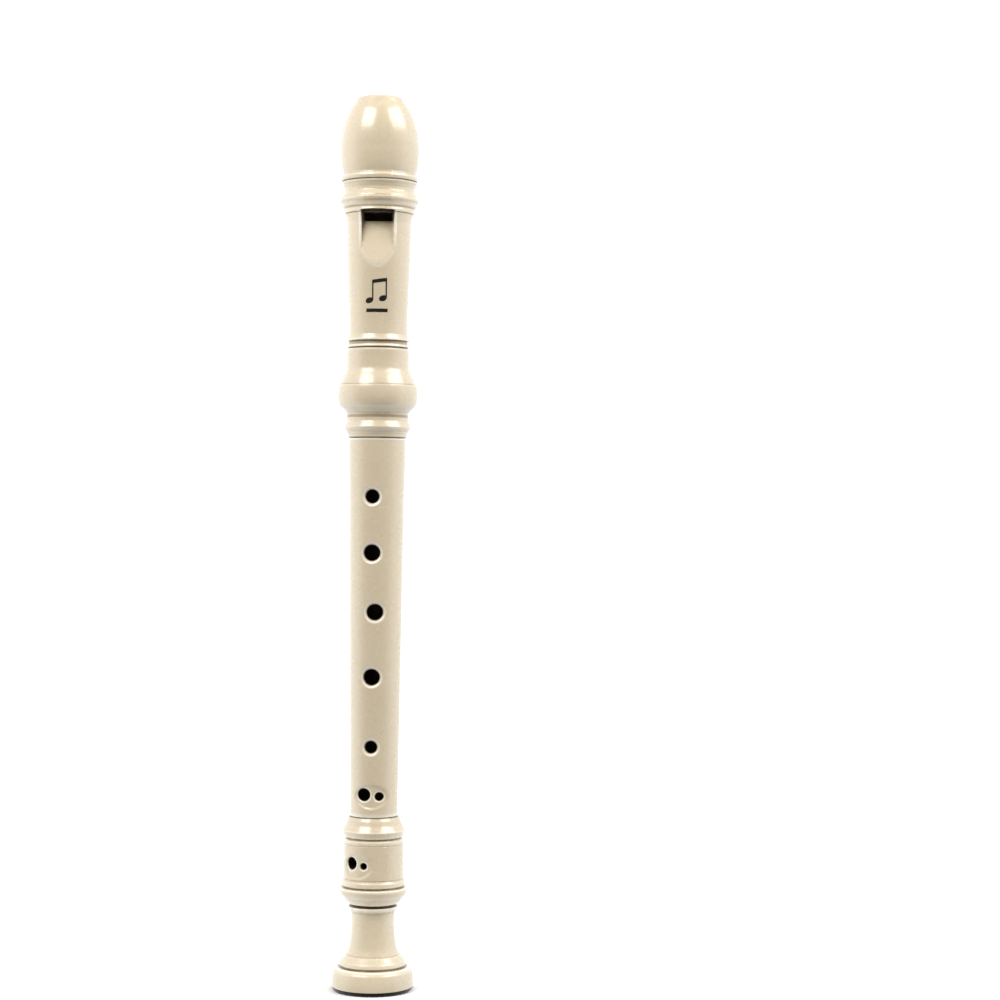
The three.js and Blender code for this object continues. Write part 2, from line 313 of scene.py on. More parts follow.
class Wall:
    """A turned wall as a grid: rows follow the closed outline, columns go round the bore."""

    def __init__(self, outer, inner, columns, place, open_air=(0, math.inf)):
        """outer and inner are upward paths. place(side, radius, z) gives a row of points."""
        self.outer, self.inner, self.columns = outer, inner, columns
        path = np.vstack([outer, inner[::-1]])
        sides = ["outer"] * len(outer) + ["inner"] * len(inner)
        self.rows = len(path)
        grid = [place(side, radius, z) for side, (radius, z) in zip(sides, path)]
        self.points = [np.concatenate(grid)]
        # Painted shade: dark inside the bore away from its ends and dark lines out in the open; relief
        # drives painted highlights and brown shade
        ends = np.minimum(inner[:, 1] - inner[0, 1], inner[-1, 1] - inner[:, 1])
        deep = BORE_DARKNESS * np.clip((ends[::-1] - BORE_DARK_FROM) / (BORE_DARK_AT - BORE_DARK_FROM), 0, 1)
        raised = np.concatenate([relief(outer), np.zeros(len(inner))])
        dark = np.concatenate([dark_lines(outer[:, 1], *open_air), deep])
        self.relief = [np.repeat(raised, len(columns))]
        self.depth = [np.repeat(dark, len(columns))]
        self.count = self.rows * len(columns)
        self.left_out = set()
        self.faces = []

    def index(self, row, column):
        return (row % self.rows) * len(self.columns) + column % len(self.columns)

    def loop(self, rows, first, last):
        """Grid points round a patch, counter-clockwise from outside, from its lowest left one."""
        across = range(first, last)
        loop = [(rows[0], column) for column in across]
        loop += [(row, last) for row in rows[:-1]]
        loop += [(rows[-1], column) for column in range(last, first, -1)]
        loop += [(row, first) for row in rows[:0:-1]]
        return [self.index(row, column) for row, column in loop]

    def open_patch(self, low, high, first, last):
        """Leaves out a patch on both sides of the wall, and gives the loops round it."""
        loops = []
        for upward, outside in ((self.outer, True), (self.inner, False)):
            inside = np.nonzero((upward[:, 1] > low - TINY) & (upward[:, 1] < high + TINY))[0]
            rows = list(inside) if outside else [self.rows - 1 - i for i in inside]
            loops.append(self.loop(rows, first, last))
            for a in range(min(rows), max(rows)):
                self.left_out.update((a, column % len(self.columns)) for column in range(first, last))
        return loops

    def add_loop(self, points, relief=0.0, depth=0.0):
        start = self.count
        self.points.append(np.asarray(points))
        self.relief.append(np.broadcast_to(relief, len(points)))
        self.depth.append(np.broadcast_to(depth, len(points)))
        self.count += len(points)
        return list(range(start, self.count))

    def join(self, a, b):
        """Quads between two loops."""
        size = len(a)
        self.faces.extend((a[i], a[(i + 1) % size], b[(i + 1) % size], b[i]) for i in range(size))

    def build(self, name, body, material):
        size = len(self.columns)
        for row in range(self.rows):
            for column in range(size):
                if (row, column) not in self.left_out:
                    self.faces.append((
                        self.index(row, column), self.index(row, column + 1),
                        self.index(row + 1, column + 1), self.index(row + 1, column),
                    ))
        marks = {"relief": np.concatenate(self.relief), "depth": np.concatenate(self.depth)}
        piece = make_object(name, np.concatenate(self.points), self.faces, body, material, marks)
        even_normals(piece)
        return piece


def dish_depth(dish, turns, radius, z):
    """Depth of a dished finger rest below the turned surface."""
    if dish is None:
        return 0.0
    across = radius * np.sin(turns - math.radians(dish["turn"]))
    front = np.cos(turns - math.radians(dish["turn"])) > 0
    away = np.hypot(across / dish["wide"], (z - dish["z"]) / dish["tall"])
    edge = np.clip((1 - away) / DISH_EDGE, 0, 1)
    return dish["deep"] * front * edge * edge * (3 - 2 * edge)


def drill(wall, hole, dish, low, high, step):
    """A round hole through the wall, with a rounded rim, in its own patch of the grid."""
    out, right = direction(hole["turn"])
    first, last = (round((hole["turn"] + side + 180) / step) for side in hole["patch"])
    outer_loop, inner_loop = wall.open_patch(low, high, first, last)
    grid = wall.points[0]

    def flat(loop):
        points = grid[loop]
        return np.stack([points[:, :2] @ right - hole["side"], points[:, 2] - hole["z"]], -1)

    def lifted(path, spots, sink=0.0, dished=None):
        across = hole["side"] + spots[:, 0]
        z = hole["z"] + spots[:, 1]
        radius = radius_at(path, z)
        turns = math.radians(hole["turn"]) + np.arcsin(np.clip(across / radius, -1, 1))
        radius = radius - dish_depth(dished, turns, radius, z)
        ahead = np.sqrt(np.maximum(radius ** 2 - across ** 2, 0)) - sink
        return np.column_stack([across[:, None] * right + ahead[:, None] * out, z])

    outside, inside = flat(outer_loop), flat(inner_loop)
    ray = outside / np.hypot(*outside.T)[:, None]
    bore = hole["bore"] / 2
    loops = [outer_loop]
    for t in PATCH_STEPS:
        spots = (1 - t) * outside + t * (bore + hole["rim"]) * ray
        loops.append(wall.add_loop(lifted(wall.outer, spots, dished=dish)))
    start = math.radians(RIM_START)
    for turn in np.linspace(start, math.pi / 2, RIM_STEPS + 1)[1:]:
        along = (math.sin(turn) - math.sin(start)) / (1 - math.sin(start))
        sink = hole["rim"] * RIM_DEPTH * (math.cos(start) - math.cos(turn)) / math.cos(start)
        ring = (bore + hole["rim"] * (1 - along)) * ray
        # The rim is painted pale towards its outer edge, a painted highlight, and painted shade deepens
        # towards the bore
        loops.append(wall.add_loop(lifted(wall.outer, ring, sink, dish), 1 - along ** 3, along ** 4))
    rim_end = wall.points[-1]
    bore_end = lifted(wall.inner, bore * ray)
    # The hole's wall is painted black and the inside round it dark: painted shade
    for t in BORE_STEPS:
        loops.append(wall.add_loop((1 - t) * rim_end + t * bore_end, 0, 1))
    for t in INNER_STEPS:
        spots = (1 - t) * bore * ray + t * inside
        loops.append(wall.add_loop(lifted(wall.inner, spots), 0, BORE_DARKNESS))
    loops.append(inner_loop)
    for a, b in zip(loops, loops[1:]):
        wall.join(a, b)


def rows_between(low, high):
    return np.linspace(low, high, round((high - low) / ROW) + 1)


def tube(name, body, outline, inner, holes, dish, columns, material, open_air=(0, math.inf)):
    """A turned joint with round holes. Holes that share a height share one set of rows."""
    outer, inner = fine_at_lines(refined(rounded(outline), LONG_ROW)), refined(inner, INNER_ROW)
    step = 360 / columns
    turns = np.radians(-180 + step * np.arange(columns))
    outer = refined(outer, ROW, dish["z"] - DISH_REACH, dish["z"] + DISH_REACH)
    spans = [hole_span(hole, holes) for hole in holes]
    for low, high in sorted(set(spans)):
        rows = rows_between(low, high)
        outer, inner = with_rows(outer, rows), with_rows(inner, rows)

    def place(side, radius, z):
        deep = dish_depth(dish, turns, radius, z) if side == "outer" else 0.0
        return on_circle(radius - deep, turns, z)

    wall = Wall(outer, inner, turns, place, open_air)
    for hole, (low, high) in zip(holes, spans):
        drill(wall, hole, dish, low, high, step)
    return wall.build(name, body, material)


def hole_span(hole, holes):
    """Lowest and highest row of a hole's patch, shared with the other hole of its pair."""
    pair = [other for other in holes
            if other["turn"] == hole["turn"] and abs(other["z"] - hole["z"]) < PAIR_REACH]
    low = min(other["z"] - other["bore"] / 2 - other["rim"] for other in pair) - PATCH_MARGIN
    high = max(other["z"] + other["bore"] / 2 + other["rim"] for other in pair) + PATCH_MARGIN
    return round(low, 3), round(high, 3)


# ---------------------------------------------------------------- pieces

MIDDLE_COLUMNS, FOOT_COLUMNS = 144, 160


def grooved_tenon(radius, low, high, grooves):
    """Outline of a tenon with shallow grease grooves, without its ends."""
    outline = []
    for z in grooves:
        outline += [(radius, z - 0.7, 0.2), (radius - 0.3, z - 0.35, 0.2),
                    (radius - 0.3, z + 0.35, 0.2), (radius, z + 0.7, 0.2)]
    return [(radius, low, 0.02)] + outline + [(radius, high - 0.5, 0.2)]


def middle_joint(material):
    upper = grooved_tenon(UPPER_TENON, HEAD_END - SEAM + 0.02, TENON_TOP, (210, 216, 222))
    shoulder = MIDDLE_OUTLINE[0][1]
    outline = (
        [(MIDDLE_BORE[0] + 0.2, TENON_END), (LOWER_TENON - 0.4, TENON_END + 0.02, 0.05),
         (LOWER_TENON, TENON_END + 0.5, 0.3), (LOWER_TENON, 58, 0.2), (LOWER_TENON - 0.25, 58.4, 0.2),
         (LOWER_TENON - 0.25, 59.1, 0.2), (LOWER_TENON, 59.5, 0.2), (LOWER_TENON, shoulder - 0.02, 0.02)]
        + MIDDLE_OUTLINE + upper
        + [(UPPER_TENON - 0.4, TENON_TOP - 0.02, 0.05), (MIDDLE_BORE[1] + 0.2, TENON_TOP)]
    )
    inner = np.array([(MIDDLE_BORE[0], TENON_END + 0.2), (MIDDLE_BORE[1], TENON_TOP - 0.2)])
    open_air = (FOOT_TOP - SEAM, HEAD_END + SEAM)
    return tube("middle_body", "middle", outline, inner, MIDDLE_HOLES, MIDDLE_DISH, MIDDLE_COLUMNS,
                material, open_air)


def foot_joint(material):
    socket = LOWER_TENON + FIT
    floor = TENON_END - SOCKET_SPARE
    inner = rounded([
        (6.9, 0.02, 0), (6.4, 0.6, 0.8), (5.7, 4, 4), (FOOT_BORE, 9, 4), (FOOT_BORE, floor - 0.05, 0.05),
        (socket, floor, 0.05), (socket, FOOT_TOP - 0.5, 0.2), (socket + 0.4, FOOT_TOP - 0.02, 0),
    ])
    return tube("foot_body", "foot", FOOT_OUTLINE, inner, FOOT_HOLES, FOOT_DISH, FOOT_COLUMNS, material)


# Head: the heights between which its columns run straight up, and the radius they are spaced on.
# Columns are close together up to FINE_TO, and round like the rest from ROUND_FROM on, after a
# blend. The window's cut reaches to FRONT_TURN. All turns are measured from the front.
STRAIGHT_FROM, STRAIGHT_TO = 258.0, 294.0
STRAIGHT_RADIUS = 12.0
FINE_TO = math.radians(38)
ROUND_FROM, BLEND_TURN = math.radians(52), math.radians(14)
FRONT_TURN = math.radians(60)
SIDE_COLUMNS, WINDOW_COLUMNS, BACK_COLUMNS = 26, 37, 95
WINDOW_ROWS = 28
RAMP_ROW, EDGE_ROW, EDGE_ROWS_FROM, EDGE_ROWS_TO = 0.33, 0.12, 282, 289.2
UNDERCUT_ROW, UNDERCUT_REACH = 0.6, 3
# Heights and strengths of the painted shade on the collar, the pale strips of painted highlight beside
# the window, the brown painted shade on top of the ramp and the painted shade of the window's side walls
COLLAR_SHADE = (290.2, 291, 292.6, 293.2), (0, 0.5, 0.5, 0)
SIDE_STRIPS = (269, 274, 280), (0, 0.3, 0.9)
RAMP_STRIP = 0.45
EDGE_BROWN_SHADE = (EDGE_HEIGHT - 6, EDGE_HEIGHT - 1, EDGE_HEIGHT), (0, 0.5, 0.95)
# Brown painted shade on the side walls, and the painted shade of the window's top face
WALL_BROWN_SHADE, TOP_DARKNESS = 0.7, 0.9
WALL_SHADE = (270, 275, 283), (0, 0.35, 0.75)
# The right wall gets less painted shade than the left
RIGHT_WALL_SHARE = 0.45
STRIP_WIDTH, STRIP_FADE = 1.4, 0.4


def smooth_min(a, b, width):
    """The lower of a and b, with the corner between them rounded off."""
    blend = np.maximum(width - np.abs(a - b), 0) / width
    return np.minimum(a, b) - blend ** 2 * width / 4


def window_cut(ahead, x, z):
    """Depths of the front after the window and its ramp are cut, for one row, and its painted highlights and
    shade.
    """
    wall = EDGE_DEPTH + (np.abs(x) - WINDWAY_HALF) / DRAFT
    if z >= BLOCK_END:
        floor = ROOF + 0.15 + (z - BLOCK_END) / TOP_DRAFT
    elif z <= EDGE_HEIGHT:
        floor = EDGE_DEPTH + (EDGE_HEIGHT - z) * RAMP_SLOPE
    else:
        floor = 0
    at_wall = np.clip(wall - floor, 0, 1)
    width = RAMP_ROUNDING + (WALL_ROUNDING - RAMP_ROUNDING) * at_wall ** 2 * (3 - 2 * at_wall)
    return smooth_min(ahead, np.maximum(wall, floor), width), *window_marks(ahead, wall, floor, x, z)


def window_marks(ahead, wall, floor, x, z):
    """Painted light round the window: pale edges as painted highlights, a dark top face and brown shade on
    the sides.
    """
    on_wall = wall > floor
    outside = (np.maximum(wall, floor) - ahead) * np.where(on_wall, DRAFT, 0.5 / RAMP_SLOPE)
    inside = np.clip(-outside / 0.2, 0, 1)
    if z >= BLOCK_END:
        # Painted shade on the collar and on the window's top face
        return -np.interp(z, *COLLAR_SHADE) * (np.abs(x) < WINDWAY_HALF), TOP_DARKNESS * inside
    # Painted highlights: pale strips along the walls' edges and the ramp's rounded end
    strip = np.clip((outside + 0.1) / 0.15, 0, 1) * np.clip((STRIP_WIDTH - outside) / STRIP_FADE, 0, 1)
    pale = strip * np.where(on_wall, np.interp(z, *SIDE_STRIPS), RAMP_STRIP)
    # Painted shade: brown inside the cut and dark on the side walls, more on the left
    brown_shade = inside * np.where(on_wall, WALL_BROWN_SHADE, np.interp(z, *EDGE_BROWN_SHADE))
    shaded = inside * on_wall * np.interp(z, *WALL_SHADE)
    return pale - brown_shade, shaded * np.where(x < 0, 1, RIGHT_WALL_SHARE)


def head_tube(material):
    """The head's wall. Near the window its columns run straight up, at fixed places across."""
    edge = math.asin(WINDWAY_HALF / STRAIGHT_RADIUS)
    fine = np.linspace(edge, FINE_TO, SIDE_COLUMNS)
    front = np.concatenate([-fine[:0:-1], np.linspace(-edge, edge, WINDOW_COLUMNS), fine[1:]])
    back = np.linspace(fine[-1], 2 * math.pi - fine[-1], BACK_COLUMNS)[1:-1]
    columns = np.concatenate([front, back])
    signed = np.where(columns > math.pi, columns - 2 * math.pi, columns)

    outer = fine_at_lines(refined(rounded(HEAD_OUTLINE), LONG_ROW))
    outer = refined(outer, RAMP_ROW, STRAIGHT_FROM, EDGE_ROWS_FROM)
    outer = refined(outer, EDGE_ROW, EDGE_ROWS_FROM, EDGE_ROWS_TO)
    socket = UPPER_TENON + FIT
    floor = TENON_TOP + SOCKET_SPARE
    recess, recess_floor = 11.05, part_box("beak_cap")[0].z / MM - 0.4
    inner = rounded([
        (socket + 0.4, HEAD_END + 0.02, 0), (socket, HEAD_END + 0.5, 0.2), (socket, floor, 0.05),
        (HEAD_BORE, floor + 0.05, 0.05), (HEAD_BORE, recess_floor, 0.05),
        (recess, recess_floor + 0.05, 0.05), (recess, HEAD_TOP - 0.02, 0),
    ])
    inner = refined(inner, INNER_ROW)
    inner = refined(inner, UNDERCUT_ROW, UNDERCUT_END - 2, BLOCK_END + 2)
    rows = np.linspace(EDGE_HEIGHT, BLOCK_END, WINDOW_ROWS)
    outer, inner = with_rows(outer, rows), with_rows(inner, rows)

    in_window = np.abs(signed) <= edge + 1e-6
    inner_edge = math.asin(WINDWAY_HALF / HEAD_BORE)
    spread = inner_edge + (np.abs(signed) - edge) / (math.pi - edge) * (math.pi - inner_edge)
    in_line = np.arcsin(np.clip(STRAIGHT_RADIUS * np.sin(signed) / HEAD_BORE, -1, 1))
    inner_turn = np.where(in_window, in_line, np.sign(signed) * spread)
    in_roof = np.abs(signed) < edge - 1e-6

    reliefs, depths = [], []

    def outer_row(radius, z):
        straight = np.clip((z - STRAIGHT_FROM) / 4, 0, 1) * np.clip((STRAIGHT_TO + 2 - z) / 2, 0, 1)
        straight = straight * np.clip((ROUND_FROM - np.abs(signed)) / BLEND_TURN, 0, 1)
        across = (1 - straight) * radius * np.sin(signed) + straight * STRAIGHT_RADIUS * np.sin(signed)
        points = on_circle(radius, signed, z)
        ahead = np.sqrt(np.maximum(radius ** 2 - across ** 2, 0))
        facing = np.abs(signed) < FRONT_TURN
        raised, dark = 0, 0
        if STRAIGHT_FROM < z < STRAIGHT_TO:
            cut, raised, dark = window_cut(ahead, across, z)
            ahead = np.where(facing, cut, ahead)
        reliefs.append(np.where(facing, raised, 0))
        depths.append(np.where(facing, dark, 0))
        points[facing, 0], points[facing, 1] = across[facing], -ahead[facing]
        return points

    def inner_row(radius, z):
        points = on_circle(radius, inner_turn, z)
        if radius > HEAD_BORE + 0.5:
            return points
        if z > BLOCK_END - TINY:
            points[in_roof, 1] = -ROOF
        elif z > UNDERCUT_END:
            deep = np.clip((z - UNDERCUT_END) / UNDERCUT_REACH, 0, 1)
            points[in_roof, 1] = (1 - deep) * points[in_roof, 1] - deep * EDGE_UNDERSIDE
        return points

    def place(side, radius, z):
        return outer_row(radius, z) if side == "outer" else inner_row(radius, z)

    wall = Wall(outer, inner, columns, place)
    count = len(outer) * len(columns)
    # The window's painted highlights and shade join the marks of the wall
    wall.relief[0][:count] += np.concatenate(reliefs)
    wall.depth[0][:count] = np.maximum(wall.depth[0][:count], np.concatenate(depths))
    first, last = np.nonzero(in_window)[0][[0, -1]]
    outer_loop, inner_loop = wall.open_patch(EDGE_HEIGHT, BLOCK_END, first, last)
    wall.join(outer_loop, inner_loop)
    return wall.build("head_body", "head", material)


def keyhole(radius, half, top, low, high, name):
    """A straight prism: a round bar with a flat-topped key towards the front."""
    corner = math.asin(half / radius)
    around = np.linspace(corner, 2 * math.pi - corner, 97)
    section = [(radius * math.sin(a), -radius * math.cos(a)) for a in around]
    section += [(-half, -top), (half, -top)]
    mesh = bpy.data.meshes.new(name)
    shape = bmesh.new()
    rings = [[shape.verts.new((x * MM, y * MM, z * MM)) for x, y in section] for z in (low, high)]
    for i in range(len(section)):
        j = (i + 1) % len(section)
        shape.faces.new((rings[0][i], rings[0][j], rings[1][j], rings[1][i]))
    shape.faces.new(rings[0][::-1])
    shape.faces.new(rings[1])
    bmesh.ops.recalc_face_normals(shape, faces=shape.faces)
    shape.to_mesh(mesh)
    shape.free()
    prism = bpy.data.objects.new(name, mesh)
    bpy.context.scene.collection.objects.link(prism)
    return prism


def cut_with(piece, tool, operation):
    """Applies a boolean to the piece's mesh and removes the tool."""
    modifier = piece.modifiers.new("cut", "BOOLEAN")
    modifier.operation, modifier.object, modifier.solver = operation, tool, "EXACT"
    graph = bpy.context.evaluated_depsgraph_get()
    mesh = bpy.data.meshes.new_from_object(piece.evaluated_get(graph), depsgraph=graph)
    piece.modifiers.clear()
    piece.data = mesh
    mesh.shade_smooth()
    mesh.set_sharp_from_angle(angle=CREASE)
    bpy.data.objects.remove(tool)


# Beak: the scoop behind the tip, and how far the front keeps out past the turned shape
SCOOP_Y, SCOOP_Z, SCOOP_RADIUS = 23.0, 332.0, 27.4
FRONT_KEEP, FRONT_KEEP_FROM = 1.4, 311.0
LIP_ROUNDING, SCOOP_ROUNDING, LEAST_ROUNDING = 0.9, 1.4, 0.3
BEAK_ROW, BEAK_STEP, LIP_ROWS = 0.35, 1.5, 9
FAR = 99.0


def beak_section(path, turns, z):
    """Points round the beak at a height: an ellipse, cut off behind by the scoop's round face."""
    a = radius_at(path, z)
    b = a + FRONT_KEEP * max(0, (z - FRONT_KEEP_FROM) / (TIP - FRONT_KEEP_FROM))
    reach = SCOOP_RADIUS ** 2 - (SCOOP_Z - z) ** 2
    back = SCOOP_Y - math.sqrt(reach) if reach > 0 else FAR
    middle = min(0.0, (back - b) / 2) if back < b else 0.0
    s, c = np.sin(turns), -np.cos(turns)
    # distance from (0, middle) to the ellipse and to the scoop's face
    quad = (s / a) ** 2 + (c / b) ** 2
    lin = middle * c / b ** 2
    round_reach = (-lin + np.sqrt(lin ** 2 - quad * ((middle / b) ** 2 - 1))) / quad
    flat_reach = np.where(c > TINY, (back - middle) / np.maximum(c, TINY), 1 / TINY)
    width = min(SCOOP_ROUNDING, 0.45 * (back - middle)) if back < FAR else SCOOP_ROUNDING
    distance = smooth_min(round_reach, flat_reach, max(width, LEAST_ROUNDING))
    inset = max(0, z - (TIP - LIP_ROUNDING)) / LIP_ROUNDING
    distance = distance - LIP_ROUNDING * (1 - math.sqrt(max(0, 1 - inset ** 2)))
    return np.stack([distance * s, middle + distance * c, np.full_like(s, z)], -1)


def beak_solid(name, bottom, body, material):
    """The whole beak as one closed body of star-shaped sections, from a height up to the tip."""
    path = refined(rounded(CAP_OUTLINE), BEAK_ROW)
    if bottom < path[0, 1]:
        path = np.vstack([[path[0, 0], bottom], path])
    turns = np.radians(np.arange(0, 360, BEAK_STEP))
    lip_rows = TIP - LIP_ROUNDING * (1 - np.sin(np.linspace(0, math.pi / 2, LIP_ROWS)))
    body_rows = path[path[:, 1] < lip_rows[0] - 0.05, 1]
    heights = np.concatenate([body_rows, lip_rows])
    points = np.concatenate([beak_section(path, turns, z) for z in heights])
    rows, size = len(heights), len(turns)
    faces = []
    for row in range(rows - 1):
        for i in range(size):
            j = (i + 1) % size
            faces.append((row * size + i, row * size + j, (row + 1) * size + j, (row + 1) * size + i))
    faces.append(tuple(range(size))[::-1])
    faces.append(tuple((rows - 1) * size + i for i in range(size)))
    # Painted highlights on raised edges, painted shade in the hollows and at the seam
    raised = np.where(heights > HEAD_TOP, np.interp(heights, path[:, 1], relief(path)), 0)
    marks = {"relief": np.repeat(raised, size), "depth": np.repeat(dark_lines(heights), size)}
    return make_object(name, points, faces, body, material, marks)


def beak_cap(material):
    cap = beak_solid("beak_shell", HEAD_TOP + SEAM, "head", material)
    room = keyhole(BLOCK_RADIUS + BLOCK_GAP, WINDWAY_HALF, ROOF, BLOCK_END, TIP + 2, "room")
    cut_with(cap, room, "DIFFERENCE")
    return cap


def windway_block(material):
    block = beak_solid("block_body", BLOCK_END, "head", material)
    key = keyhole(BLOCK_RADIUS, WINDWAY_HALF - BLOCK_GAP, FLOOR, BLOCK_END + 0.01, TIP + 2, "key")
    cut_with(block, key, "INTERSECT")
    return block


# ---------------------------------------------------------------- materials

def new_material(name):
    material = bpy.data.materials.new(name)
    material.use_nodes = True
    return material, material.node_tree, material.node_tree.nodes["Principled BSDF"]


def coordinates(tree, kind="Object"):
    return tree.nodes.new("ShaderNodeTexCoord").outputs[kind]


def noise(tree, scale, detail):
    texture = tree.nodes.new("ShaderNodeTexNoise")
    texture.inputs["Scale"].default_value = scale
    texture.inputs["Detail"].default_value = detail
    tree.links.new(coordinates(tree), texture.inputs["Vector"])
    return texture.outputs["Fac"]


def remap(tree, source, low, high, to_low, to_high, blend="LINEAR"):
    """The source's range from low to high, stretched to another range and held at its ends."""
    node = tree.nodes.new("ShaderNodeMapRange")
    node.interpolation_type = blend
    for name, value in zip(("From Min", "From Max", "To Min", "To Max"), (low, high, to_low, to_high)):
        node.inputs[name].default_value = value
    tree.links.new(source, node.inputs["Value"])
    return node.outputs["Result"]


def combine(tree, operation, first, second):
    node = tree.nodes.new("ShaderNodeMath")
    node.operation = operation
    tree.links.new(first, node.inputs[0])
    tree.links.new(second, node.inputs[1])
    return node.outputs["Value"]


def mix(tree, factor, first, second):
    """A mix of two colours. Each is a socket or a constant."""
    node = tree.nodes.new("ShaderNodeMix")
    node.data_type = "RGBA"
    tree.links.new(factor, node.inputs["Factor"])
    for socket, value in ((node.inputs["A"], first), (node.inputs["B"], second)):
        if isinstance(value, tuple):
            socket.default_value = value
        else:
            tree.links.new(value, socket)
    return node.outputs["Result"]


def attribute(tree, name):
    node = tree.nodes.new("ShaderNodeAttribute")
    node.attribute_name = name
    return node.outputs["Fac"]


def ivory_plastic():
    """Glossy ivory plastic: faint mould flow, uneven gloss, painted highlights on raised edges and painted
    shade in the grooves.
    """
    material, tree, shader = new_material("ivory_plastic")
    links = tree.links
    shader.inputs["IOR"].default_value = 1.57
    shader.inputs["Coat Roughness"].default_value = 0.14
    shader.inputs["Subsurface Weight"].default_value = 0.18
    shader.inputs["Subsurface Radius"].default_value = (1.0, 0.62, 0.32)
    shader.inputs["Subsurface Scale"].default_value = 0.0016

    raised, depth = attribute(tree, "relief"), attribute(tree, "depth")
    flow = remap(tree, noise(tree, 38, 2), 0.35, 0.65, 0, 1)
    tone = mix(tree, flow, (0.66, 0.563, 0.404, 1), (0.674, 0.577, 0.417, 1))
    # Painted highlight: raised edges, hole rims and strips beside the window turn pale
    highlighted = mix(tree, remap(tree, raised, 0.1, 1, 0, 0.9), tone, (0.9, 0.85, 0.74, 1))
    # Painted shade: grooves, hollows and the window's walls turn brown, unevenly
    patchy = remap(tree, noise(tree, 160, 4), 0.3, 0.7, 0.55, 1)
    brown_shade = combine(tree, "MULTIPLY", remap(tree, raised, -0.15, -1, 0, 0.9), patchy)
    shaded_tone = mix(tree, brown_shade, highlighted, (0.3, 0.215, 0.09, 1))
    # Painted shade: dark lines, bores and holes turn dark brown and lose gloss, and the deepest gaps turn
    # nearly black
    deep = mix(tree, depth, shaded_tone, (0.07, 0.037, 0.01, 1))
    black_shade = remap(tree, depth, 0.86, 0.96, 0, 1)
    links.new(mix(tree, black_shade, deep, (0.012, 0.008, 0.004, 1)), shader.inputs["Base Color"])
    links.new(remap(tree, depth, 0, 0.8, 0.5, 0.02), shader.inputs["Coat Weight"])
    links.new(remap(tree, depth, 0, 0.8, 0.5, 0.12), shader.inputs["Specular IOR Level"])
    links.new(remap(tree, noise(tree, 220, 3), 0.3, 0.7, 0.26, 0.29), shader.inputs["Roughness"])
    bump = tree.nodes.new("ShaderNodeBump")
    bump.inputs["Strength"].default_value = 0.06
    bump.inputs["Distance"].default_value = 0.0004
    links.new(noise(tree, 420, 2), bump.inputs["Height"])
    links.new(bump.outputs["Normal"], shader.inputs["Normal"])
    return material


def print_ink():
    """Dark brown printing ink, slightly uneven."""
    material, tree, shader = new_material("print_ink")
    shade = remap(tree, noise(tree, 2600, 2), 0.35, 0.75, 0, 1)
    colour = mix(tree, shade, (0.004, 0.003, 0.002, 1), (0.016, 0.011, 0.007, 1))
    tree.links.new(colour, shader.inputs["Base Color"])
    shader.inputs["Roughness"].default_value = 0.6
    shader.inputs["Specular IOR Level"].default_value = 0.25
    return material


def plain_floor():
    """White paper that glows a little away from the recorder, so that it has no horizon."""
    material, tree, shader = new_material("pale_floor")
    shader.inputs["Base Color"].default_value = (0.93, 0.93, 0.92, 1)
    shader.inputs["Roughness"].default_value = 0.7
    shader.inputs["Emission Color"].default_value = (1, 1, 1, 1)
    distance = tree.nodes.new("ShaderNodeVectorMath")
    distance.operation = "LENGTH"
    tree.links.new(coordinates(tree), distance.inputs[0])
    glow = remap(tree, distance.outputs["Value"], 0.03, 0.5, 0.0, 0.8, "SMOOTHSTEP")
    tree.links.new(glow, shader.inputs["Emission Strength"])
    return material


# ---------------------------------------------------------------- printed mark

MARK_HEIGHT = 258.0
INK = 0.025
INK_STEP = 0.15


def printed_mark(material):
    """Two plain beamed quavers over a plain bar, printed on the front of the head."""
    surface = rounded(HEAD_OUTLINE)
    lean = math.radians(20)
    around = np.linspace(0, 2 * math.pi, 33)[:-1]
    oval = np.column_stack([1.5 * np.cos(around), 1.05 * np.sin(around)])
    oval = oval @ np.array([[math.cos(lean), math.sin(lean)], [-math.sin(lean), math.cos(lean)]])
    stem = np.array([(1.0, 0.2), (1.5, 0.2), (1.5, 6.6), (1.0, 6.6)])
    beam = np.array([(-1.85, 2.6), (3.65, 3.4), (3.65, 4.7), (-1.85, 3.9)])
    low_note, high_note = np.array([-2.85, -3.6]), np.array([2.15, -2.8])
    bar = np.array([(-4.0, -7.9), (4.0, -7.9), (4.0, -6.6), (-4.0, -6.6)])
    shapes = [oval + low_note, oval + high_note, stem + low_note, stem + high_note, beam, bar]
    points, faces = [], []
    for number, shape in enumerate(shapes):
        add_print(points, faces, surface, shape, INK * (1 + INK_STEP * number))
    return make_object("printed_mark", points, faces, "head", material)


def add_print(points, faces, surface, shape, lift):
    """One closed film of ink: the shape's triangles, laid on the tube and given a thickness."""
    sheet = bmesh.new()
    loop = [sheet.verts.new((x, z, 0)) for x, z in shape]
    sheet.faces.new(loop)
    bmesh.ops.triangulate(sheet, faces=sheet.faces)
    bmesh.ops.subdivide_edges(
        sheet, edges=[edge for edge in sheet.edges if edge.calc_length() > 0.8], cuts=4, use_grid_fill=True)
    bmesh.ops.triangulate(sheet, faces=sheet.faces)
    extruded = bmesh.ops.extrude_face_region(sheet, geom=list(sheet.faces))
    for vertex in extruded["geom"]:
        if isinstance(vertex, bmesh.types.BMVert):
            vertex.co.z = 1
    sheet.verts.index_update()
    bmesh.ops.recalc_face_normals(sheet, faces=sheet.faces)
    start = len(points)
    for vertex in sheet.verts:
        z = MARK_HEIGHT + vertex.co.y
        radius = radius_at(surface, z) + (lift if vertex.co.z > 0.5 else -lift)
        turn = vertex.co.x / radius
        points.append((radius * math.sin(turn), -radius * math.cos(turn), z))
    faces.extend([tuple(start + vertex.index for vertex in face.verts) for face in sheet.faces])
    sheet.free()


